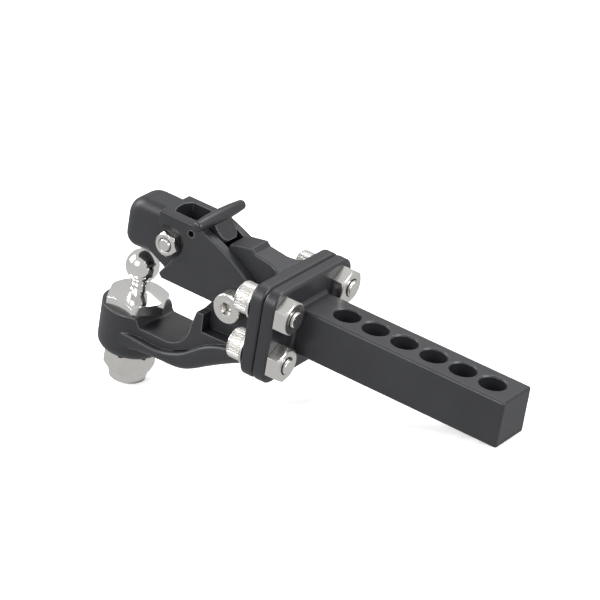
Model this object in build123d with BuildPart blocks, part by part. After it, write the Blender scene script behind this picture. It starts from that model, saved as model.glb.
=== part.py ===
"""Scale-model combination hitch: a pintle jaw closing over a tow ball, on a six-hole drawbar.

Frame: +X runs along the drawbar from the hook to the free end, +Z is up along the
tow ball's axis.  The origin is on the drawbar's axis, at the front face of its flange.
"""
import os
from math import cos, radians, sin, sqrt

from build123d import *

os.makedirs("parts", exist_ok=True)

# ---------------------------------------------------------------- driving dimensions, mm
# drawbar
bar_side = 6.0
bar_length = 28.7
bar_edge = 0.35
bar_end_edge = 0.3
bar_foot = 0.5
pin_hole_d = 3.3
pin_hole_first = 5.0
pin_hole_pitch = 4.05
pin_hole_count = 6
pin_hole_chamfer = 0.15

# M2 hardware
screw_d = 2.0
head_d = 1.9 * screw_d
head_tall = screw_d
head_edge = 0.25
socket_flats = 0.75 * screw_d
socket_deep = 0.55 * screw_d
knurl_count = 30
knurl_deep = 0.22
knurl_wide = 0.22
nut_flats = 2 * screw_d
nut_tall = 0.8 * screw_d
nut_chamfer = 0.3
nut_mouth = 0.12
washer_d = 2.15 * screw_d
washer_thick = 0.35
washer_edge = 0.08
thread_out = 0.35
thread_clear = 0.04
bolt_clear = 0.1

# M1.6 hardware through the jaw
small_d = 1.6
small_head_d = 3.0
small_head_tall = 1.6
small_nut_flats = 1.75 * small_d
small_nut_tall = 1.3
small_nut_turn = 50.0
small_thread_out = 0.2

# the two bolted flange plates
nut_to_bar = 0.9
bolt_pitch_y = bar_side + nut_flats + 2 * nut_to_bar
bolt_pitch_z = 6.2
bolt_margin_y = 2.1
bolt_margin_z = 2.9
plate_width = bolt_pitch_y + 2 * bolt_margin_y
plate_height = bolt_pitch_z + 2 * bolt_margin_z
plate_thick = 1.8
plate_corner = 1.8
plate_edge = 0.4

# tow ball and its lock nut
ball_d = 4.2
ball_x = -24.15
ball_z = -2.8
ball_neck_d = 2.2
ball_collar_d = 2.5
ball_hex_flats = 7.0
ball_hex_turn = -4.5
ball_hex_side = 0.95
ball_hex_crown = 1.1
ball_hex_rim = 0.42
stud_d = 3.0
lock_nut_flats = stud_d + 2.5
lock_nut_hex = 2.7
lock_nut_crown = 1.3
insert_thick = 0.9
insert_wall = 0.65
insert_sunk = 0.1
lock_nut_turn = 20.0

# hook body
seat_z = -7.9
pad_d = 8.6
pad_under = 1.5
pad_tall = 6.2
arm_width = 6.8
belly_width = 8.5
belly_round = 1.1
crease_round = 0.4
crease_drop = 1.0
throat_floor_z = -9.0
throat_wall_x = -13.9
throat_round = 3.5
post_top_z = -3.25
post_thick = 1.1
pocket_floor_z = -plate_height / 2 + 0.4
tongue_width = 3.4
tongue_top_z = 6.8
tongue_edge = 0.3
tongue_flare = 2.1

# jaw
head_gap = 0.55
pivot_x = -2 * plate_thick - washer_thick - head_tall - head_d / 2 - head_gap
pivot_z = -0.2
cheek_thick = 1.2
tongue_clear = 0.1
jaw_top_z = 7.15
jaw_bottom_z = -1.5
lobe_r = 3.3
nose_x = -26.1
nose_step = 0.45
nose_round = 1.5
nose_top_round = 2.6
nose_bottom_z = 0.3
nose_bottom_round = 1.75
shoulder_x = -21.0
window_x = -19.4
window_bow = 0.6
window_floor_z = 5.1
cheek_edge = 0.25
cheek_corner = 0.28
jaw_screw_x = -18.95
jaw_screw_z = 3.5
recess_r = 1.9

# latch lever
latch_x = -16.05
latch_z = 5.9
latch_hub_d = 2.2
latch_clear = 0.15
latch_pin_d = 0.8
latch_pin_sunk = 0.85
grip_length = 9.5
grip_mid_r = 0.85
grip_end_r = 0.6
grip_x = -14.4
paddle_round = 1.2
paddle_tip_x = -12.1

# fits
running_clear = 0.05
side_clear = 0.05
press_clear = 0.02

# ---------------------------------------------------------------- values worked out from them
joint_face_x = -plate_thick
hook_face_x = -2 * plate_thick
jaw_gap = tongue_width + 2 * tongue_clear
jaw_width = jaw_gap + 2 * cheek_thick
nose_width = jaw_width - 2 * nose_step
hub_r = latch_hub_d / 2
web_back_x = latch_x - hub_r - latch_clear
latch_width = jaw_gap - 2 * latch_clear
latch_pin_length = jaw_width - 2 * latch_pin_sunk
grip_z = jaw_top_z + grip_mid_r + side_clear
pad_bottom_z = seat_z - pad_tall
lock_nut_z = pad_bottom_z - lock_nut_hex - lock_nut_crown
bolt_ys = (-bolt_pitch_y / 2, bolt_pitch_y / 2)
bolt_zs = (bolt_pitch_z / 2, -bolt_pitch_z / 2)
bolt_spots = [(y, z) for z in bolt_zs for y in bolt_ys]
pin_hole_spots = [pin_hole_first + pin_hole_pitch * n for n in range(pin_hole_count)]


def save(builder, name):
    """Label a finished piece and write it as its own file."""
    builder.part.label = name
    export_step(builder.part, f"parts/{name}.step")


def rim_edges(builder, low_x, high_x):
    """Edges of a plate's two big faces, which lie at the two given places along X."""
    faces = [f for f in builder.faces().filter_by(Axis.X)
             if min(abs(f.center().X - low_x), abs(f.center().X - high_x)) < 0.01]
    return [e for f in faces for e in f.edges()]


def ring_edges(builder, radius):
    """Circular edges of one radius."""
    circles = builder.edges().filter_by(GeomType.CIRCLE)
    return circles.filter_by(lambda e: abs(e.radius - radius) < 0.01)


def across(x, y, z, out=-1):
    """Plane square to the Y axis at a point, its +Z pointing to -Y or, with out=1, to +Y."""
    return Plane((x, y, z), x_dir=(1, 0, 0), z_dir=(0, out, 0))


# ---------------------------------------------------------------- drawbar with its flange
with BuildPart() as drawbar:
    with BuildSketch(Plane.YZ.offset(joint_face_x)):
        RectangleRounded(plate_width, plate_height, plate_corner)
    extrude(amount=plate_thick)
    fillet(rim_edges(drawbar, joint_face_x, 0), plate_edge)
    with BuildSketch(Plane.YZ):
        RectangleRounded(bar_side, bar_side, bar_edge)
    extrude(amount=bar_length)
    fillet(drawbar.faces().sort_by(Axis.X)[-1].edges(), bar_end_edge)
    foot = drawbar.edges().filter_by_position(Axis.X, -0.01, 0.01)
    fillet(foot.filter_by(lambda e: max(abs(e.center().Y), abs(e.center().Z)) < bar_side * 0.51), bar_foot)
    with Locations(*[(x, 0, bar_side / 2) for x in pin_hole_spots]):
        Hole(pin_hole_d / 2, depth=bar_side)
    chamfer(ring_edges(drawbar, pin_hole_d / 2), pin_hole_chamfer)
    with BuildSketch(Plane.YZ.offset(joint_face_x)):
        with Locations(*bolt_spots):
            Circle(screw_d / 2 + bolt_clear)
    extrude(amount=plate_thick, mode=Mode.SUBTRACT)
save(drawbar, "drawbar")


# ---------------------------------------------------------------- hook body
# Arm: its plan outline and round pad, cut to the side outline of seat, throat, post and pocket floor.
floor_front_x = ball_x + pad_d / 2 - 0.9
seat_back_x = ball_x + pad_d / 2 - 2.1
wall_low_z = throat_floor_z + throat_round
floor_back_x = throat_wall_x - throat_round
post_front_x = throat_wall_x + 0.5
post_back_x = post_front_x + post_thick
belly_crease_z = throat_floor_z - crease_drop
with BuildPart() as arm:
    with BuildSketch(Plane.XY.offset(belly_crease_z - 0.6)) as arm_plan:
        with Locations((ball_x, 0)):
            Circle(pad_d / 2)
            Rectangle(hook_face_x - ball_x, arm_width, align=(Align.MIN, Align.CENTER))
        waist = [v for v in arm_plan.vertices() if ball_x + 0.5 < v.X < hook_face_x - 0.5]
        fillet(waist, pad_d / 2)
    extrude(amount=post_top_z - belly_crease_z + 0.6)
    with Locations((ball_x, 0, pad_bottom_z)):
        Cylinder(pad_d / 2, pad_tall, align=(Align.CENTER, Align.CENTER, Align.MIN))
    with BuildSketch(Plane.XZ):
        with BuildLine():
            Polyline(
                (hook_face_x, pocket_floor_z - 0.3),
                (hook_face_x, pocket_floor_z + 0.3),
                (post_back_x, pocket_floor_z),
                (post_back_x - 0.1, post_top_z),
                (post_front_x, post_top_z - 0.1),
                (throat_wall_x, wall_low_z),
            )
            RadiusArc((throat_wall_x, wall_low_z), (floor_back_x, throat_floor_z), throat_round)
            Line((floor_back_x, throat_floor_z), (floor_front_x, throat_floor_z))
            Spline(
                (floor_front_x, throat_floor_z),
                (seat_back_x, seat_z),
                tangents=[(-1, 0), (-1, 0)],
            )
            Polyline(
                (seat_back_x, seat_z),
                (ball_x - pad_d, seat_z),
                (ball_x - pad_d, pad_bottom_z - 1),
                (ball_x + pad_d / 2 + 0.1, pad_bottom_z - 1),
                (floor_back_x, belly_crease_z - 0.5),
                (throat_wall_x + 2.3, pocket_floor_z - 2.0),
                (hook_face_x, pocket_floor_z - 0.3),
            )
        make_face()
    extrude(amount=plate_width, both=True, mode=Mode.INTERSECT)

# Belly: the wider lower half of the arm, under the crease.
with BuildPart() as belly:
    with BuildSketch(Plane.XZ):
        with BuildLine():
            Spline(
                (hook_face_x, pocket_floor_z + 0.6),
                (throat_wall_x + 2.3, pocket_floor_z - 1.5),
                (throat_wall_x - 0.4, belly_crease_z + 0.9),
                (floor_back_x + 1.0, belly_crease_z + 0.05),
                (ball_x, belly_crease_z),
                tangents=[(-1, -0.1), (-1, 0)],
            )
            Line((ball_x, belly_crease_z), (ball_x, pad_bottom_z + pad_under))
            Spline(
                (ball_x, pad_bottom_z + pad_under),
                (floor_back_x, throat_floor_z - 2.75),
                (throat_wall_x - 0.3, throat_floor_z - 2.5),
                (throat_wall_x + 2.7, throat_floor_z - 0.95),
                (hook_face_x, pocket_floor_z - 0.4),
                tangents=[(1, 0.2), (1, 0.4)],
            )
            Line((hook_face_x, pocket_floor_z - 0.4), (hook_face_x, pocket_floor_z + 0.6))
        make_face()
    extrude(amount=belly_width / 2, both=True)
    belly_lines = belly.faces().filter_by(Axis.Y).edges().filter_by(GeomType.BSPLINE)
    fillet(belly_lines.filter_by(lambda e: e.center().Z < belly_crease_z), belly_round)
    belly_lines = belly.faces().filter_by(Axis.Y).edges().filter_by(GeomType.BSPLINE)
    fillet(belly_lines.filter_by(lambda e: e.center().Z > belly_crease_z), crease_round)

# Tongue: the thin web between the jaw's cheeks, flared where it meets the plate.
tongue_profile = [
    (hook_face_x, pocket_floor_z + 0.2),
    (hook_face_x - 2.0, pocket_floor_z - 0.1),
    (post_front_x - 0.3, pocket_floor_z - 0.2),
    (post_front_x, post_top_z - 0.1),
    (pivot_x - 3.5, jaw_bottom_z + 0.3),
    (pivot_x - 3.3, pivot_z + 3.0),
    (pivot_x - 2.8, tongue_top_z - 0.65),
    (pivot_x - 2.1, tongue_top_z - 0.4),
    (pivot_x + 0.15, tongue_top_z),
    (pivot_x + 0.75, tongue_top_z - 0.5),
    (hook_face_x, tongue_top_z - 1.05),
]
with BuildPart() as tongue:
    with BuildSketch(Plane.XY.offset(-plate_height)):
        with Locations((hook_face_x, 0)):
            Rectangle(plate_width, tongue_width, align=(Align.MAX, Align.CENTER))
            Rectangle(tongue_flare, tongue_width + 2 * tongue_flare, align=(Align.MAX, Align.CENTER))
        flare_y = tongue_width / 2 + tongue_flare
        with Locations((hook_face_x - tongue_flare, -flare_y), (hook_face_x - tongue_flare, flare_y)):
            Circle(tongue_flare, mode=Mode.SUBTRACT)
    extrude(amount=2 * plate_height)
    with BuildSketch(Plane.XZ):
        with BuildLine():
            Polyline(*tongue_profile, close=True)
        make_face()
    extrude(amount=plate_width, both=True, mode=Mode.INTERSECT)
    tongue_lines = tongue.faces().filter_by(Axis.Y).edges()
    fillet(tongue_lines.filter_by(lambda e: e.center().Z > tongue_top_z - 1.1), tongue_edge)

with BuildPart() as hook_body:
    with BuildSketch(Plane.YZ.offset(hook_face_x)):
        RectangleRounded(plate_width, plate_height, plate_corner)
    extrude(amount=plate_thick)
    fillet(rim_edges(hook_body, hook_face_x, joint_face_x), plate_edge)
    add(tongue.part)
    add(arm.part)
    add(belly.part)
    fillet(hook_body.faces().sort_by(Axis.Z)[0].edges(), pad_under)
    # holes: ball stud, pivot screw and the four flange screws
    with Locations((ball_x, 0, seat_z)):
        Hole(stud_d / 2 + bolt_clear, depth=pad_tall)
    with Locations(across(pivot_x, -tongue_width, pivot_z)):
        Hole(screw_d / 2 + thread_clear, depth=2 * tongue_width)
    with BuildSketch(Plane.YZ.offset(hook_face_x)):
        with Locations(*bolt_spots):
            Circle(screw_d / 2 + bolt_clear)
    extrude(amount=plate_thick, mode=Mode.SUBTRACT)
save(hook_body, "hook_body")

# ---------------------------------------------------------------- jaw
def round_point(x, z, r, angle):
    """Point on a circle in the XZ plane, its angle in degrees from +X towards +Z."""
    return (x + r * cos(radians(angle)), z + r * sin(radians(angle)))


lobe_leave = 50
lobe_drop = pivot_z - jaw_bottom_z
lobe_start_x = pivot_x - sqrt(lobe_r**2 - lobe_drop**2)
rear_low = round_point(pivot_x, pivot_z, lobe_r, lobe_leave)
lobe_low = round_point(pivot_x, pivot_z, lobe_r, -53)
rear_top = (grip_x + 0.15, jaw_top_z - 0.4)
toe = (jaw_screw_x - 0.95, jaw_bottom_z + 0.55)
notch = (jaw_screw_x - 0.2, nose_bottom_z - 0.5)
scallop_end = round_point(jaw_screw_x - 0.2, jaw_screw_z, recess_r, -35)
scallop_start = round_point(jaw_screw_x - 0.2, jaw_screw_z, recess_r, 145)
# cheeks: flat plates with a scallop round the small nut and a lobe round the pivot
with BuildPart() as cheeks:
    with BuildSketch(Plane.XZ) as cheek_face:
        with BuildLine():
            Polyline(scallop_start, (shoulder_x, jaw_top_z), (rear_top[0] - 0.6, jaw_top_z), rear_top)
            TangentArc(rear_low, rear_top, tangent=(-sin(radians(lobe_leave)), cos(radians(lobe_leave))))
            ThreePointArc(rear_low, lobe_low, (lobe_start_x, jaw_bottom_z))
            Polyline((lobe_start_x, jaw_bottom_z), (toe[0] + 0.5, jaw_bottom_z), toe, scallop_end)
            ThreePointArc(scallop_end, (jaw_screw_x + recess_r, jaw_screw_z), scallop_start)
        make_face()
        fillet(cheek_face.vertices().filter_by(lambda v: abs(v.X - rear_low[0]) > 0.1), cheek_corner)
    extrude(amount=jaw_width / 2, both=True)
    fillet(cheeks.faces().filter_by(Axis.Y).edges(), cheek_edge)

with BuildPart() as jaw:
    # nose block, softly rounded all over
    with BuildSketch(Plane.XZ):
        with BuildLine():
            FilletPolyline(
                (web_back_x, jaw_top_z),
                (nose_x, jaw_top_z),
                (nose_x, nose_bottom_z),
                (notch[0] - 1.0, nose_bottom_z),
                radius=[nose_top_round, nose_bottom_round],
            )
            Polyline((notch[0] - 1.0, nose_bottom_z), notch, toe, (toe[0] + 0.5, jaw_bottom_z),
                     (web_back_x, jaw_bottom_z), (web_back_x, jaw_top_z))
        make_face()
    extrude(amount=nose_width / 2, both=True)
    nose_rims = jaw.faces().filter_by(Axis.Y).edges().filter_by(
        lambda e: e.center().X < web_back_x - 1 and e.center().Z > nose_bottom_z - 0.05)
    fillet(nose_rims, nose_round)
    add(cheeks.part)
    # slot between the cheeks, and the window ahead of it with its bowed front edge
    with BuildSketch(Plane.XY.offset(jaw_bottom_z - 2 * lobe_r)):
        with Locations((web_back_x, 0)):
            Rectangle(4 * lobe_r + pivot_x - web_back_x, jaw_gap, align=(Align.MIN, Align.CENTER))
    extrude(amount=jaw_top_z - jaw_bottom_z + 4 * lobe_r, mode=Mode.SUBTRACT)
    with BuildSketch(Plane.XY.offset(window_floor_z)):
        with BuildLine():
            ThreePointArc((window_x, -jaw_gap / 2), (window_x - window_bow, 0), (window_x, jaw_gap / 2))
            Polyline((window_x, jaw_gap / 2), (web_back_x + 0.1, jaw_gap / 2),
                     (web_back_x + 0.1, -jaw_gap / 2), (window_x, -jaw_gap / 2))
        make_face()
    extrude(amount=jaw_top_z, mode=Mode.SUBTRACT)
    # cross holes: pivot, latch pin and the small clamp screw
    for x, z, r in (
        (pivot_x, pivot_z, screw_d / 2 + running_clear),
        (latch_x, latch_z, latch_pin_d / 2 + press_clear),
        (jaw_screw_x, jaw_screw_z, small_d / 2 + press_clear),
    ):
        with Locations(across(x, -jaw_width, z)):
            Hole(r, depth=2 * jaw_width)
save(jaw, "jaw")

# ---------------------------------------------------------------- latch lever
with BuildPart() as latch_lever:
    # hub and paddle, the paddle rounded in plan at its free end
    with BuildSketch(Plane.XZ):
        with Locations((latch_x, latch_z)):
            Circle(hub_r)
        with BuildLine():
            Polyline(
                (latch_x - hub_r * 0.9, latch_z + hub_r * 0.45),
                (grip_x - 0.6, grip_z + 0.2),
                (grip_x + 0.45, grip_z + 0.2),
                (grip_x + 0.72, grip_z - 0.6),
                (paddle_tip_x - 0.5, latch_z + 0.42),
                (paddle_tip_x, latch_z),
                (paddle_tip_x - 0.1, latch_z - 0.1),
                (grip_x + 0.8, latch_z - 0.25),
                (latch_x + 0.2, latch_z - hub_r * 0.98),
                close=True,
            )
        make_face()
    extrude(amount=latch_width / 2, both=True)
    with BuildSketch(Plane.XY.offset(latch_z - 2 * hub_r)):
        with Locations((paddle_tip_x, 0)):
            RectangleRounded(2 * (paddle_tip_x - latch_x), latch_width, paddle_round,
                             align=(Align.MAX, Align.CENTER))
    extrude(amount=grip_z - latch_z + 4 * hub_r, mode=Mode.INTERSECT)
    # grip: a round bar, thickest in the middle, with rounded ends
    with BuildSketch(Plane((grip_x, 0, grip_z), x_dir=(0, 1, 0), z_dir=(1, 0, 0))):
        with BuildLine():
            Line((-grip_length / 2, 0), (grip_length / 2, 0))
            Line((grip_length / 2, 0), (grip_length / 2, grip_end_r))
            ThreePointArc((grip_length / 2, grip_end_r), (0, grip_mid_r), (-grip_length / 2, grip_end_r))
            Line((-grip_length / 2, grip_end_r), (-grip_length / 2, 0))
        make_face()
    revolve(axis=Axis((grip_x, 0, grip_z), (0, 1, 0)))
    fillet(ring_edges(latch_lever, grip_end_r), grip_end_r * 0.7)
    with Locations(across(latch_x, -latch_width, latch_z)):
        Hole(latch_pin_d / 2 + running_clear, depth=2 * latch_width)
save(latch_lever, "latch_lever")

# ---------------------------------------------------------------- hardware makers
def cap_screw(seat, shank_r, length, head_r, tall, ridges=0):
    """Socket cap screw on a seat plane whose +Z points out of the head."""
    with BuildPart(seat) as screw:
        Cylinder(head_r, tall, align=(Align.CENTER, Align.CENTER, Align.MIN))
        fillet(screw.edges().filter_by(GeomType.CIRCLE), head_edge)
        if ridges:
            with PolarLocations(head_r + 0.03, ridges):
                Box(knurl_deep, knurl_wide, tall * 0.9, rotation=(0, 0, 45), mode=Mode.SUBTRACT,
                    align=(Align.CENTER, Align.CENTER, Align.MIN))
        Cylinder(shank_r, length, align=(Align.CENTER, Align.CENTER, Align.MAX))
        with BuildSketch(seat.offset(tall)):
            RegularPolygon(socket_flats / 2, 6, major_radius=False)
        extrude(amount=-min(socket_deep, tall * 0.6), mode=Mode.SUBTRACT)
        tip = [f for f in screw.faces() if abs(seat.to_local_coords(f.center()).Z + length) < 0.01]
        chamfer(tip[0].edges(), 0.15)
    return screw


def hex_nut(seat, flats, tall, bore_r, turn):
    """Plain hexagon nut on a seat plane whose +Z points away from what it clamps."""
    corner_r = flats / sqrt(3)
    with BuildPart(seat) as nut:
        with BuildSketch(seat):
            RegularPolygon(flats / 2, 6, major_radius=False, rotation=turn)
        extrude(amount=tall)
        with BuildSketch(Plane(seat.origin, x_dir=seat.x_dir, z_dir=seat.y_dir)):
            with BuildLine():
                Polyline((0, 0), (corner_r, 0), (corner_r, -tall + nut_chamfer), (flats / 2 * 0.94, -tall),
                         (0, -tall), close=True)
            make_face()
        revolve(axis=Axis(seat.origin, seat.z_dir), mode=Mode.INTERSECT)
        with BuildSketch(seat):
            Circle(bore_r)
        extrude(amount=tall, mode=Mode.SUBTRACT)
        chamfer(ring_edges(nut, bore_r), nut_mouth)
    return nut


def washer(seat, outer_r, inner_r, thick):
    """Flat washer on a seat plane whose +Z points away from what it lies on."""
    with BuildPart(seat) as ring:
        with BuildSketch(seat):
            Circle(outer_r)
            Circle(inner_r, mode=Mode.SUBTRACT)
        extrude(amount=thick)
        fillet(ring_edges(ring, outer_r), washer_edge)
    return ring


# ---------------------------------------------------------------- flange fasteners
bolt_r = screw_d / 2
grip = 2 * plate_thick + washer_thick + nut_tall + thread_out
for number, (y, z) in enumerate(bolt_spots, start=1):
    hook_side = Plane((hook_face_x, y, z), x_dir=(0, 1, 0), z_dir=(-1, 0, 0))
    bar_face = Plane((0, y, z), x_dir=(0, 1, 0), z_dir=(1, 0, 0))
    flange_washer = washer(hook_side, washer_d / 2, bolt_r + bolt_clear, washer_thick)
    flange_screw = cap_screw(hook_side.offset(washer_thick), bolt_r, grip, head_d / 2, head_tall, knurl_count)
    flange_nut = hex_nut(bar_face, nut_flats, nut_tall, bolt_r + thread_clear, 30)
    save(flange_washer, f"flange_washer_{number}")
    save(flange_screw, f"flange_screw_{number}")
    save(flange_nut, f"flange_nut_{number}")

# ---------------------------------------------------------------- pivot screw and nut
pivot_seat = jaw_width / 2 + side_clear
pivot_length = 2 * pivot_seat + nut_tall + thread_out
near_pivot = across(pivot_x, -pivot_seat, pivot_z)
far_pivot = across(pivot_x, pivot_seat, pivot_z, out=1)
save(cap_screw(near_pivot, bolt_r, pivot_length, head_d / 2, head_tall, knurl_count), "pivot_screw")
save(hex_nut(far_pivot, nut_flats, nut_tall, bolt_r + thread_clear, 0), "pivot_nut")

# ---------------------------------------------------------------- small clamp screw and nut through the nose
small_r = small_d / 2
small_length = nose_width + small_nut_tall + small_thread_out
near_nose = across(jaw_screw_x, -nose_width / 2, jaw_screw_z)
far_nose = across(jaw_screw_x, nose_width / 2, jaw_screw_z, out=1)
save(cap_screw(far_nose, small_r, small_length, small_head_d / 2, small_head_tall), "jaw_screw")
save(hex_nut(near_nose, small_nut_flats, small_nut_tall, small_r + thread_clear, small_nut_turn), "jaw_nut")

# ---------------------------------------------------------------- latch pin
with BuildPart(across(latch_x, 0, latch_z)) as latch_pin:
    Cylinder(latch_pin_d / 2, latch_pin_length)
    chamfer(latch_pin.edges().filter_by(GeomType.CIRCLE), 0.08)
save(latch_pin, "latch_pin")

# ---------------------------------------------------------------- tow ball
hex_corner_r = ball_hex_flats / sqrt(3)
hex_shoulder_z = seat_z + ball_hex_side
neck_low_z = hex_shoulder_z + ball_hex_crown
with BuildPart() as ball_base:
    with BuildSketch(Plane((ball_x, 0, seat_z))):
        RegularPolygon(ball_hex_flats / 2, 6, major_radius=False, rotation=ball_hex_turn)
    extrude(amount=ball_hex_side + ball_hex_crown)
    with BuildSketch(Plane((ball_x, 0, 0), x_dir=(1, 0, 0), z_dir=(0, -1, 0))):
        with BuildLine():
            Polyline((0, seat_z), (hex_corner_r, seat_z), (hex_corner_r, hex_shoulder_z),
                     (ball_hex_flats / 2, hex_shoulder_z + ball_hex_rim),
                     (ball_neck_d / 2 + 0.25, neck_low_z), (0, neck_low_z), close=True)
        make_face()
    revolve(axis=Axis((ball_x, 0, 0), (0, 0, 1)), mode=Mode.INTERSECT)

ball_r = ball_d / 2
collar_r = ball_collar_d / 2
neck_r = ball_neck_d / 2
collar_z = ball_z - sqrt(ball_r**2 - collar_r**2)
with BuildPart() as tow_ball:
    with BuildSketch(Plane((ball_x, 0, 0), x_dir=(1, 0, 0), z_dir=(0, -1, 0))):
        with BuildLine():
            Polyline((0, ball_z + ball_r), (0, neck_low_z - 0.1), (neck_r + 0.12, neck_low_z - 0.1),
                     (neck_r + 0.12, neck_low_z), (neck_r, neck_low_z + 0.2), (neck_r, collar_z - 0.7),
                     (collar_r * 0.97, collar_z - 0.35), (collar_r, collar_z))
            ThreePointArc((collar_r, collar_z), (ball_r, ball_z), (0, ball_z + ball_r))
        make_face()
    revolve(axis=Axis((ball_x, 0, 0), (0, 0, 1)))
    add(ball_base.part)
    with Locations((ball_x, 0, seat_z)):
        Cylinder(stud_d / 2, seat_z - lock_nut_z - 0.3, align=(Align.CENTER, Align.CENTER, Align.MAX))
save(tow_ball, "tow_ball")

# ---------------------------------------------------------------- lock nut under the seat pad
corner_r = lock_nut_flats / sqrt(3)
crown_r = lock_nut_flats / 2 * 0.93
insert_r = stud_d / 2 + insert_wall
lock_nut_tall = lock_nut_hex + lock_nut_crown
under_pad = Plane((ball_x, 0, pad_bottom_z), x_dir=(1, 0, 0), z_dir=(0, 0, -1))
with BuildPart() as ball_nut:
    with BuildSketch(under_pad):
        RegularPolygon(lock_nut_flats / 2, 6, major_radius=False, rotation=lock_nut_turn)
    extrude(amount=lock_nut_hex)
    with BuildSketch(across(ball_x, 0, pad_bottom_z, out=1)):
        with BuildLine():
            Polyline((0, 0), (lock_nut_flats / 2 * 0.96, 0), (corner_r, nut_chamfer),
                     (corner_r, lock_nut_hex - 0.5), (crown_r + 0.1, lock_nut_hex), (0, lock_nut_hex),
                     close=True)
        make_face()
    revolve(axis=Axis((ball_x, 0, 0), (0, 0, 1)), mode=Mode.INTERSECT)
    with BuildSketch(across(ball_x, 0, pad_bottom_z - lock_nut_hex, out=1)):
        with BuildLine():
            Line((0, 0), (crown_r, 0))
            ThreePointArc((crown_r, 0), (crown_r * 0.93, lock_nut_crown * 0.62),
                          (insert_r + 0.12, lock_nut_crown))
            Polyline((insert_r + 0.12, lock_nut_crown), (0, lock_nut_crown), (0, 0))
        make_face()
    revolve(axis=Axis((ball_x, 0, 0), (0, 0, 1)))
    with BuildSketch(under_pad):
        Circle(stud_d / 2 + thread_clear)
    extrude(amount=lock_nut_tall, mode=Mode.SUBTRACT)
    with BuildSketch(under_pad.offset(lock_nut_tall)):
        Circle(insert_r)
    extrude(amount=-insert_thick, mode=Mode.SUBTRACT)
save(ball_nut, "ball_nut")

with BuildPart() as ball_nut_insert:
    with BuildSketch(under_pad.offset(lock_nut_tall - insert_sunk)):
        Circle(insert_r)
        Circle(stud_d / 2 + press_clear, mode=Mode.SUBTRACT)
    extrude(amount=insert_sunk - insert_thick)
save(ball_nut_insert, "ball_nut_insert")
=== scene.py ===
# %% [markdown]
# # A model-scale pintle hitch with a tow ball
# The hitch is made of cast and milled black parts, held by small bright screws and
# nuts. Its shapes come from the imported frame, so this lesson is about finishes: how
# a few noise fields, an edge finder and a crevice finder make powder coat, bright
# nickel, polished chrome and nylon look like themselves.

# %% Load the frame
from math import cos, pi, radians, sin

import bmesh
import bpy
from mathutils import Matrix, Vector


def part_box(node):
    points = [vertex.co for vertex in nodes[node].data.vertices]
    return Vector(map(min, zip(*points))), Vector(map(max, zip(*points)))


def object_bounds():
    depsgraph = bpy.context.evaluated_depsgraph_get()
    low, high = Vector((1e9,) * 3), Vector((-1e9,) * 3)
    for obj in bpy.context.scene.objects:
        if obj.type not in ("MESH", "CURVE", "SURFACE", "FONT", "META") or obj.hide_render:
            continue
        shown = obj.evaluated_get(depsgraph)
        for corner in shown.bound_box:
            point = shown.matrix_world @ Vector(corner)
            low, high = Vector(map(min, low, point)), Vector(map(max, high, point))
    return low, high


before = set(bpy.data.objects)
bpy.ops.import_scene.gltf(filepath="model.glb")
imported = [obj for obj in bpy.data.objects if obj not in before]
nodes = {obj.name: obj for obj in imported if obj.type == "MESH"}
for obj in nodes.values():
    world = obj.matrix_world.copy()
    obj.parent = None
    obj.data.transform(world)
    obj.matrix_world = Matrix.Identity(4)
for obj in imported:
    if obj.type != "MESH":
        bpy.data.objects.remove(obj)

cad_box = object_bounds()
print("pieces in the frame:", len(nodes))

# %% [markdown]
# All lengths are in metres, because the frame is. A named millimetre keeps the
# numbers close to what a maker would read off a caliper.

# %% Units and the overall size
MM = 0.001
length_mm = [round((high - low) / MM, 1) for low, high in zip(*cad_box)]
print("hitch, mm:", length_mm)

# %% [markdown]
# A finish is a small sum: a base colour, plus a bit of noise, plus what happens on
# edges and in corners. Written as nodes that sum is hard to read, so one class wraps
# a node's output and lets Python's own operators add the nodes. Numbers use Math
# nodes, and vectors use Vector Math nodes, because a Math node would turn a vector
# into one grey number.


# %% A wire that Python can do sums with
class Wire:
    """One output of a node in a finish."""

    def __init__(self, finish, socket):
        self.finish = finish
        self.socket = socket

    def sum_node(self, operation, *values):
        wires = [value for value in values if isinstance(value, Wire)]
        on_vectors = any(wire.socket.type == "VECTOR" for wire in wires)
        kind = "VectorMath" if on_vectors else "Math"
        return self.finish.node(kind, {"operation": operation}, dict(enumerate(values)))

    def __add__(self, other):
        return self.sum_node("ADD", self, other)

    def __sub__(self, other):
        return self.sum_node("SUBTRACT", self, other)

    def __rsub__(self, other):
        return self.sum_node("SUBTRACT", other, self)

    def __mul__(self, other):
        return self.sum_node("MULTIPLY", self, other)

    def __truediv__(self, other):
        return self.sum_node("DIVIDE", self, other)

    __radd__ = __add__
    __rmul__ = __mul__


# %% [markdown]
# The second class is the finish itself. Its one method, `node`, adds any other node:
# the settings go in first, because some of them change which sockets exist, and then
# each socket gets a plain value or a wire.


# %% A finish and its nodes
class Finish:
    """A material whose nodes are added one call at a time."""

    def __init__(self, name, **fixed):
        self.material = bpy.data.materials.new(name)
        self.material.use_nodes = True
        self.tree = self.material.node_tree
        self.surface = self.tree.nodes["Principled BSDF"]
        self.set(**fixed)

    def node(self, kind, settings=None, sockets=None, out=0):
        node = self.tree.nodes.new("ShaderNode" + kind)
        for name, value in (settings or {}).items():
            setattr(node, name, value)
        for key, value in (sockets or {}).items():
            self.plug(node.inputs[key], value)
        return Wire(self, node.outputs[out])

    def plug(self, socket, value):
        if isinstance(value, Wire):
            self.tree.links.new(value.socket, socket)
        else:
            socket.default_value = value

    def set(self, **values):
        """Sets or wires the surface's sockets, named with underscores for spaces."""
        for name, value in values.items():
            self.plug(self.surface.inputs[name.replace("_", " ")], value)


print("shader helpers ready")

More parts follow.
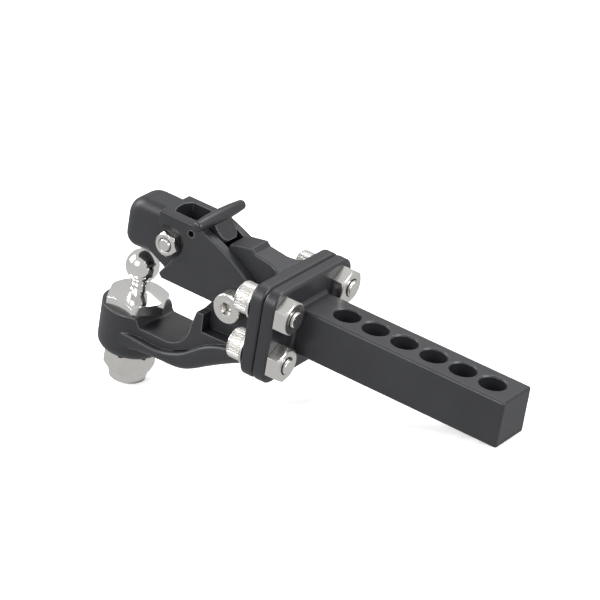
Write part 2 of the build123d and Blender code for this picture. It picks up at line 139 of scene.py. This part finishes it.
# %% [markdown]
# Five questions come up in every finish here. Where on the part am I? How does a
# cloudy noise of a given size look there? Is this an outside edge? Is this a deep
# corner? And what is between two colours? Each becomes a function, so that a finish
# reads like a recipe. The edge finder compares the true normal with a normal that is
# averaged over a small radius: they differ only near an edge.


# %% What every finish asks
def place(finish):
    """The point on the part, in millimetres."""
    here = finish.node("TexCoord", out="Object")
    return here * (1 / MM, 1 / MM, 1 / MM)


def cloud(finish, where, size_mm, detail=2.0, rough=0.5):
    """Soft noise from 0 to 1 whose lumps are about size_mm across."""
    sockets = {"Vector": where, "Scale": 1 / size_mm, "Detail": detail, "Roughness": rough}
    return finish.node("TexNoise", {}, sockets)


def stretch(finish, value, low, high, out_low=0.0, out_high=1.0):
    """Spreads low..high over out_low..out_high and stops at both ends."""
    sockets = {"Value": value, 1: low, 2: high, 3: out_low, 4: out_high}
    return finish.node("MapRange", {"interpolation_type": "SMOOTHSTEP"}, sockets)


def edge(finish, radius_mm):
    """1 on outside and inside edges, 0 on open faces."""
    soft = finish.node("Bevel", {"samples": 6}, {"Radius": radius_mm * MM})
    true = finish.node("NewGeometry", out="Normal")
    agree = finish.node("VectorMath", {"operation": "DOT_PRODUCT"}, {0: soft, 1: true}, "Value")
    return stretch(finish, 1 - agree, 0.01, 0.2)


def crevice(finish, reach_mm):
    """1 deep in corners and sockets, 0 out in the open."""
    open_share = finish.node("AmbientOcclusion", {"samples": 8}, {"Distance": reach_mm * MM}, "AO")
    return stretch(finish, open_share, 0.8, 0.25)


def between(finish, share, low, high):
    """Colour that goes from low to high as share goes from 0 to 1."""
    return finish.node("Mix", {"data_type": "RGBA"}, {0: share, 6: low, 7: high}, 2)


def relief(finish, height, depth_mm, round_mm):
    """A normal with rounded edges and a fine relief of the given depth."""
    soft = finish.node("Bevel", {"samples": 6}, {"Radius": round_mm * MM})
    sockets = {"Strength": 1.0, "Distance": depth_mm * MM, "Height": height, "Normal": soft}
    return finish.node("Bump", {}, sockets)


print("recipe steps: place, cloud, stretch, edge, crevice, between, relief")

# %% [markdown]
# The castings, the bar and the lever are powder coated: a thin satin black skin that
# melts over the metal. Seen close it has a slight orange peel, a fine grit and a little
# more shine where hands rub its edges. On top of that the colour carries painted light:
# a lighter grey painted highlight along the edges, and painted shade, a deeper black, in
# the corners. A glossy black would look like plastic, so most of the work is in the
# roughness. The milled bar starts from a smoother blank than the castings, so the same
# recipe takes a lump size and a depth.


# %% Satin black coat
BLACK_THIN = (0.017, 0.0175, 0.02, 1.0)
BLACK_THICK = (0.010, 0.0105, 0.0125, 1.0)
BLACK_PAINTED_HIGHLIGHT = (0.21, 0.213, 0.22, 1.0)
BLACK_PAINTED_SHADE = (0.006, 0.006, 0.007, 1.0)


def black_coat(name, lump_mm, lump_depth_mm, shine):
    """Powder coat over a blank whose lumps are lump_mm across."""
    coat = Finish(name)
    spot = place(coat)
    drift = cloud(coat, spot, 5.0, 3.0)
    peel = cloud(coat, spot, lump_mm)
    grit = cloud(coat, spot, 0.07, 1.0)
    nook = crevice(coat, 1.2)
    rim = edge(coat, 0.26) * (1 - nook)
    skin = between(coat, drift, BLACK_THICK, BLACK_THIN)
    # painted highlight: the edge mask lightens the black coat to grey along rounded edges
    skin_with_painted_highlight = between(coat, rim * (0.3 + peel * 0.5), skin, BLACK_PAINTED_HIGHLIGHT)
    # painted shade: the crevice finder darkens corners and recesses to a deeper black
    colour = between(coat, nook * 0.8, skin_with_painted_highlight, BLACK_PAINTED_SHADE)
    rough = 0.4 - shine + drift * 0.1 + grit * 0.12 - rim * 0.14 + nook * 0.15
    height = peel * 0.75 + grit * 0.25
    coat.set(Base_Color=colour, Roughness=rough, Normal=relief(coat, height, lump_depth_mm, 0.1))
    return coat.material


cast_coat = black_coat("black_coat_cast", lump_mm=0.3, lump_depth_mm=0.009, shine=0.08)
milled_coat = black_coat("black_coat_milled", lump_mm=0.22, lump_depth_mm=0.005, shine=0.12)
lever_coat = black_coat("black_coat_lever", lump_mm=0.26, lump_depth_mm=0.006, shine=0.14)
print("coats:", cast_coat.name, milled_coat.name, lever_coat.name)

# %% [markdown]
# The screws, nuts and washers are turned or stamped steel with bright nickel over
# them. A lathe leaves fine rings round the part's own axis, on its side and on its
# end face, so the recipe needs that axis. It takes the axis through the middle of the
# piece's box, measures how far each point is from it and along it, and feeds the sum
# of the two to a noise with one dimension: that gives rings on both kinds of face.
# A thread is the same idea with a regular wave, kept to the shank's radius.


# %% Rings and threads round an axis
def axis_place(finish, spot, node, axis):
    """Distance from a piece's own axis and along it, both in millimetres."""
    low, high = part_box(node)
    middle = (low + high) / 2 / MM
    outward = tuple(0.0 if part else 1.0 for part in axis)
    arm = spot - tuple(middle)
    away = finish.node("VectorMath", {"operation": "LENGTH"}, {0: arm * outward}, "Value")
    along = finish.node("VectorMath", {"operation": "DOT_PRODUCT"}, {0: arm, 1: axis}, "Value")
    return away, along


def turned_rings(finish, away, along, ring_mm):
    """Lathe rings on sides and end faces."""
    sockets = {"W": (away + along) / ring_mm, "Scale": 1.0, "Detail": 2.0}
    return finish.node("TexNoise", {"noise_dimensions": "1D"}, sockets)


def thread_wave(finish, away, along, thread_r_mm, pitch_mm):
    """Rounded thread ridges, only where the piece is as thick as its shank."""
    turn = along * (2 * pi / pitch_mm)
    wave = finish.node("Math", {"operation": "SINE"}, {0: turn})
    inside = stretch(finish, away, thread_r_mm - 0.16, thread_r_mm - 0.08)
    outside = stretch(finish, away, thread_r_mm + 0.1, thread_r_mm + 0.03)
    return wave * inside * outside


print("rings and threads ready")

# %% [markdown]
# Nickel is a warm, bright metal. New plating is nearly a mirror, but handling leaves
# a faint haze, and the knurls and sockets turn dull. The haze is a cloud in the
# roughness. The crevice finder raises the roughness in the knurls and sockets, and it
# also darkens their colour to a brown black, which is painted shade.

# %% Bright nickel
NICKEL = (0.84, 0.83, 0.81, 1.0)
NICKEL_WARM = (0.74, 0.72, 0.69, 1.0)
NICKEL_PAINTED_SHADE = (0.05, 0.046, 0.042, 1.0)
X_AXIS, Y_AXIS, Z_AXIS = (1.0, 0.0, 0.0), (0.0, 1.0, 0.0), (0.0, 0.0, 1.0)
THREAD_DEEPER = 12  # how many times deeper a thread is than a lathe ring


def bright_nickel(node, axis, thread_r_mm=0.0, pitch_mm=0.4, haze=0.16, painted_shade_share=0.85):
    """Nickel plate on one turned piece, with its rings and, on a screw, its thread."""
    plate = Finish("bright_nickel_" + node, Metallic=1.0)
    spot = place(plate)
    away, along = axis_place(plate, spot, node, axis)
    rings = turned_rings(plate, away, along, 0.06)
    film = cloud(plate, spot, 1.1, 4.0, 0.6)
    nook = crevice(plate, 0.7)
    rim = edge(plate, 0.06) * (1 - nook)
    tint = between(plate, film, NICKEL, NICKEL_WARM)
    # painted shade: the crevice finder darkens knurls and sockets to a brown black
    colour = between(plate, nook * painted_shade_share, tint, NICKEL_PAINTED_SHADE)
    rough = haze + film * 0.12 + rings * 0.08 + nook * 0.3 - rim * 0.06
    height = rings * 0.2 + film * 0.1
    if thread_r_mm:
        height = height + thread_wave(plate, away, along, thread_r_mm, pitch_mm) * THREAD_DEEPER
    plate.set(Base_Color=colour, Roughness=rough, Normal=relief(plate, height, 0.004, 0.05))
    return plate.material


print("nickel base:", NICKEL[:3])

# %% [markdown]
# The tow ball is chromed and polished, so it is the brightest thing on the hitch. Its
# haze is lower and cleaner, but the hexagon base under it keeps a little of the
# turning. The pin that the latch turns on is plain oiled steel, and the lock nut's
# ring is milky nylon that light enters a little way.

# %% Chrome, pin steel and nylon
CHROME = (0.92, 0.915, 0.905, 1.0)
CHROME_SMEAR = (0.82, 0.81, 0.78, 1.0)
CHROME_PAINTED_SHADE = (0.10, 0.095, 0.085, 1.0)


def ball_chrome(node):
    """Polished chrome, turned about the ball's upright axis."""
    chrome = Finish("ball_chrome", Metallic=1.0)
    spot = place(chrome)
    away, along = axis_place(chrome, spot, node, Z_AXIS)
    rings = turned_rings(chrome, away, along, 0.09)
    smear = cloud(chrome, spot * (1.0, 1.0, 0.5), 1.6, 4.0, 0.6)
    nook = crevice(chrome, 0.8)
    tint = between(chrome, smear, CHROME, CHROME_SMEAR)
    # painted shade: the crevice finder darkens the chrome in corners and recesses
    colour = between(chrome, nook * 0.7, tint, CHROME_PAINTED_SHADE)
    rough = 0.05 + smear * 0.09 + rings * 0.05 + nook * 0.2
    height = rings * 0.3 + smear * 0.1
    chrome.set(Base_Color=colour, Roughness=rough, Normal=relief(chrome, height, 0.003, 0.05))
    return chrome.material


def pin_steel(node):
    """Oiled steel with fine rings."""
    steel = Finish("pin_steel", Metallic=1.0)
    spot = place(steel)
    away, along = axis_place(steel, spot, node, Y_AXIS)
    rings = turned_rings(steel, away, along, 0.05)
    stain = cloud(steel, spot, 0.4, 3.0)
    colour = between(steel, stain, (0.12, 0.12, 0.125, 1.0), (0.26, 0.25, 0.24, 1.0))
    steel.set(Base_Color=colour, Roughness=0.3 + stain * 0.2, Normal=relief(steel, rings, 0.003, 0.04))
    return steel.material


def milky_nylon():
    """Moulded nylon with a fine matt grain."""
    nylon = Finish("nylon", Subsurface_Weight=0.2, Subsurface_Scale=0.4 * MM)
    spot = place(nylon)
    grain = cloud(nylon, spot, 0.12, 2.0)
    cloudy = cloud(nylon, spot, 0.9, 2.0)
    colour = between(nylon, cloudy, (0.74, 0.75, 0.76, 1.0), (0.62, 0.64, 0.66, 1.0))
    nylon.set(Base_Color=colour, Roughness=0.4 + grain * 0.2, Normal=relief(nylon, grain, 0.006, 0.08))
    return nylon.material


print("chrome, pin steel and nylon ready")

# %% [markdown]
# Each piece now gets its finish. The screws and nuts through the flanges lie along
# the bar, and those through the jaw lie across it, so their rings follow X or Y.


# %% Dress every piece
def dress(node, material):
    """Gives a piece of the frame its one finish."""
    mesh = nodes[node].data
    mesh.materials.clear()
    mesh.materials.append(material)


def plate_nickel(node, axis, **recipe):
    """Plates a piece with nickel of its own, turned about its axis."""
    dress(node, bright_nickel(node, axis, **recipe))


M2_THREAD_R = 1.0
NOSE_THREAD_R = 0.8
dress("drawbar", milled_coat)
dress("latch_lever", lever_coat)
dress("hook_body", cast_coat)
dress("jaw", cast_coat)
for number in range(1, 5):
    plate_nickel(f"flange_screw_{number}", X_AXIS, thread_r_mm=M2_THREAD_R)
    plate_nickel(f"flange_nut_{number}", X_AXIS)
    plate_nickel(f"flange_washer_{number}", X_AXIS, haze=0.2)
plate_nickel("pivot_screw", Y_AXIS, thread_r_mm=M2_THREAD_R)
plate_nickel("pivot_nut", Y_AXIS)
plate_nickel("jaw_screw", Y_AXIS, thread_r_mm=NOSE_THREAD_R, pitch_mm=0.35)
plate_nickel("jaw_nut", Y_AXIS)
plate_nickel("ball_nut", Z_AXIS, haze=0.14)
dress("tow_ball", ball_chrome("tow_ball"))
dress("latch_pin", pin_steel("latch_pin"))
dress("ball_nut_insert", milky_nylon())
undressed = [name for name, piece in nodes.items() if not piece.data.materials]
print("dressed:", len(nodes), "undressed:", undressed)

# %% [markdown]
# The hitch doesn't stand level. It leans on the lock nut under the hook and on the
# lower edge of the bar's free end. The floor has to touch both, so its slope is found
# by halving: too little slope and the nut alone would touch, too much and the bar
# alone would.


# %% Find the floor that the hitch rests on
def side_points(node):
    """A piece's points seen from the side, as (x, z)."""
    return [(vertex.co.x, vertex.co.z) for vertex in nodes[node].data.vertices]


def lowest(points, slope):
    """How high a floor of this slope passes the origin when it touches the points."""
    return min(z - slope * x for x, z in points)


nut_points = side_points("ball_nut")
bar_points = side_points("drawbar")
too_flat, too_steep = 0.0, 1.0
HALVINGS = 40
for _ in range(HALVINGS):
    floor_slope = (too_flat + too_steep) / 2
    if lowest(nut_points, floor_slope) < lowest(bar_points, floor_slope):
        too_flat = floor_slope
    else:
        too_steep = floor_slope
floor_height = lowest(nut_points, floor_slope)
floor_along = Vector((1.0, 0.0, floor_slope)).normalized()
floor_up = Vector((-floor_along.z, 0.0, floor_along.x))
print("floor slope:", round(floor_slope, 4), "height at the origin, mm:", round(floor_height / MM, 2))

# %% [markdown]
# The floor is a wide pale sheet. It glows a little, so that shadows stay faint, and the
# glossy parts don't mirror it. Its frame, with one axis along the slope and one straight
# up from it, also carries the lights, so that light falls from above the floor and not
# from above the tilted drawbar.

# %% Floor
FLOOR_SIZE = 4.0
FLOOR_WHITE = (0.93, 0.93, 0.93, 1.0)
FLOOR_GREY = (0.91, 0.91, 0.915, 1.0)


def studio_frame():
    """Turns studio places (along the floor, across it, up) into the hitch's frame."""
    across = Vector((0.0, 1.0, 0.0))
    turn = Matrix((floor_along, across, floor_up)).transposed().to_4x4()
    return Matrix.Translation((0.0, 0.0, floor_height)) @ turn


def pale_floor():
    """A flat sheet under the hitch."""
    sheet = bmesh.new()
    bmesh.ops.create_grid(sheet, x_segments=8, y_segments=8, size=FLOOR_SIZE / 2)
    mesh = bpy.data.meshes.new("floor")
    sheet.to_mesh(mesh)
    sheet.free()
    floor = bpy.data.objects.new("floor", mesh)
    bpy.context.scene.collection.objects.link(floor)
    floor.matrix_world = studio_frame()
    paper = Finish("floor_paper", Roughness=0.9, Specular_IOR_Level=0.1, Emission_Strength=0.36)
    tone = cloud(paper, place(paper), 40.0, 2.0)
    paper.set(Base_Color=between(paper, tone, FLOOR_WHITE, FLOOR_GREY))
    mesh.materials.append(paper.material)
    floor.visible_glossy = False
    return floor


floor = pale_floor()
print("floor, m:", FLOOR_SIZE)

# %% [markdown]
# A light tent is what shows black and chrome together: soft panels above, in front and
# at the sides, and a sky of mid grey that dips a little at the horizon, so that the
# panels stand out as highlights on the ball, the screws and the rounded black edges.


# %% Light
def soft_panel(name, azimuth, elevation, distance, size, power):
    """A square soft light that faces the hitch from a direction in the studio."""
    panel = bpy.data.lights.new(name, "AREA")
    panel.shape = "SQUARE"
    panel.size = size
    panel.energy = power
    lamp = bpy.data.objects.new(name, panel)
    bpy.context.scene.collection.objects.link(lamp)
    turn, lift = radians(azimuth), radians(elevation)
    away = Vector((sin(turn) * cos(lift), -cos(turn) * cos(lift), sin(lift)))
    spot = studio_frame() @ (away * distance)
    facing = (studio_frame().to_3x3() @ away).to_track_quat("Z", "Y")
    lamp.matrix_world = Matrix.Translation(spot) @ facing.to_matrix().to_4x4()
    return lamp


def tent_sky(low, horizon, high):
    """A grey world: one value below, one at the horizon and one overhead."""
    world = bpy.data.worlds.new("tent")
    world.use_nodes = True
    bpy.context.scene.world = world
    tree = world.node_tree
    height = tree.nodes.new("ShaderNodeSeparateXYZ")
    tree.links.new(tree.nodes.new("ShaderNodeTexCoord").outputs["Generated"], height.inputs[0])
    ramp = tree.nodes.new("ShaderNodeValToRGB")
    lift = tree.nodes.new("ShaderNodeMapRange")
    lift.inputs["From Min"].default_value = -1.0
    tree.links.new(height.outputs["Z"], lift.inputs["Value"])
    stops = ramp.color_ramp.elements
    stops.new(0.5)
    for stop, grey in zip(stops, (low, horizon, high)):
        stop.color = (grey, grey, grey, 1.0)
    tree.links.new(lift.outputs[0], ramp.inputs[0])
    tree.links.new(ramp.outputs[0], tree.nodes["Background"].inputs["Color"])
    return world


tent_sky(low=0.6, horizon=0.56, high=0.62)
soft_panel("panel_above", azimuth=165.0, elevation=60.0, distance=0.6, size=0.3, power=1.6)
soft_panel("panel_left", azimuth=-65.0, elevation=38.0, distance=0.6, size=0.3, power=2.6)
soft_panel("panel_right", azimuth=95.0, elevation=20.0, distance=0.7, size=0.4, power=5.0)
soft_panel("panel_front", azimuth=-5.0, elevation=30.0, distance=0.7, size=0.25, power=2.6)
bpy.context.scene.view_settings.view_transform = "Standard"

# %% [markdown]
# The camera is a long lens from a little above the near side. A long lens keeps the
# bar's two edges nearly parallel. It is held with a slight roll, and it looks at a
# point near the flange, in the middle of the hitch.

# %% Camera
CAMERA_AZIMUTH = 30.44
CAMERA_ELEVATION = 27.95
CAMERA_ROLL = 9.62
CAMERA_DISTANCE = 400.8 * MM
CAMERA_LENS = 206.3
AIM = Vector((-0.743, -1.492, 3.091)) * MM


def place_camera():
    """Sets the camera by its direction, roll and distance from the aim."""
    turn, lift, roll = radians(CAMERA_AZIMUTH), radians(CAMERA_ELEVATION), radians(CAMERA_ROLL)
    back = Vector((sin(turn) * cos(lift), -cos(turn) * cos(lift), sin(lift)))
    level = Vector((cos(turn), sin(turn), 0.0))
    upright = back.cross(level)
    right = level * cos(roll) + upright * sin(roll)
    up = back.cross(right)
    lens = bpy.data.cameras.new("camera")
    lens.lens = CAMERA_LENS
    lens.clip_start = 0.01
    camera = bpy.data.objects.new("camera", lens)
    bpy.context.scene.collection.objects.link(camera)
    turn_matrix = Matrix((right, up, back)).transposed().to_4x4()
    camera.matrix_world = Matrix.Translation(AIM + back * CAMERA_DISTANCE) @ turn_matrix
    return camera


bpy.context.scene.camera = place_camera()
print("camera lens, mm:", CAMERA_LENS)
